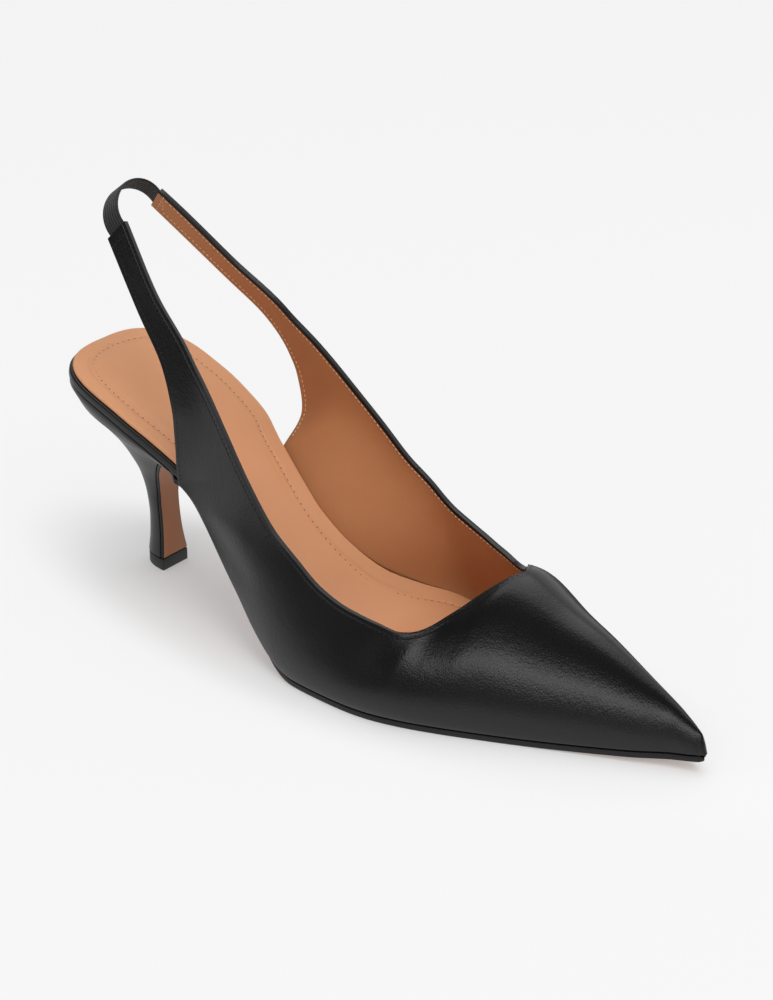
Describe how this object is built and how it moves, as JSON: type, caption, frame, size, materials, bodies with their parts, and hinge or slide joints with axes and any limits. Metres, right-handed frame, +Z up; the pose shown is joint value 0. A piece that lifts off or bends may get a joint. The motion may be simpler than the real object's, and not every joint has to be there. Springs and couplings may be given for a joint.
{
  "type": "slingback pump",
  "caption": "Pointed black leather slingback pump, right foot, with a slender covered mid heel, tan lining and an elastic loop behind the heel.",
  "frame": {"origin": "centre of the heel's tread, on the floor", "axes": "+X towards the toe, +Y towards the inner side of the foot (the wearer's left), +Z up"},
  "size_m": [0.2527, 0.0788, 0.1364],
  "materials": {
    "upper": "smooth semi-gloss black leather, tan leather lining",
    "elastic": "matt black elastic webbing",
    "sock": "smooth tan leather",
    "insole": "board wrapped in black leather",
    "outsole": "tan leather with a black edge",
    "heel": "black leather cover over a moulded core",
    "top_piece": "matt black rubber"
  },
  "bodies": {
    "root": {"upper": "upper", "elastic": "elastic", "sock": "sock", "insole": "insole", "outsole": "outsole", "heel": "heel", "top_piece": "top_piece"}
  },
  "joints": []
}
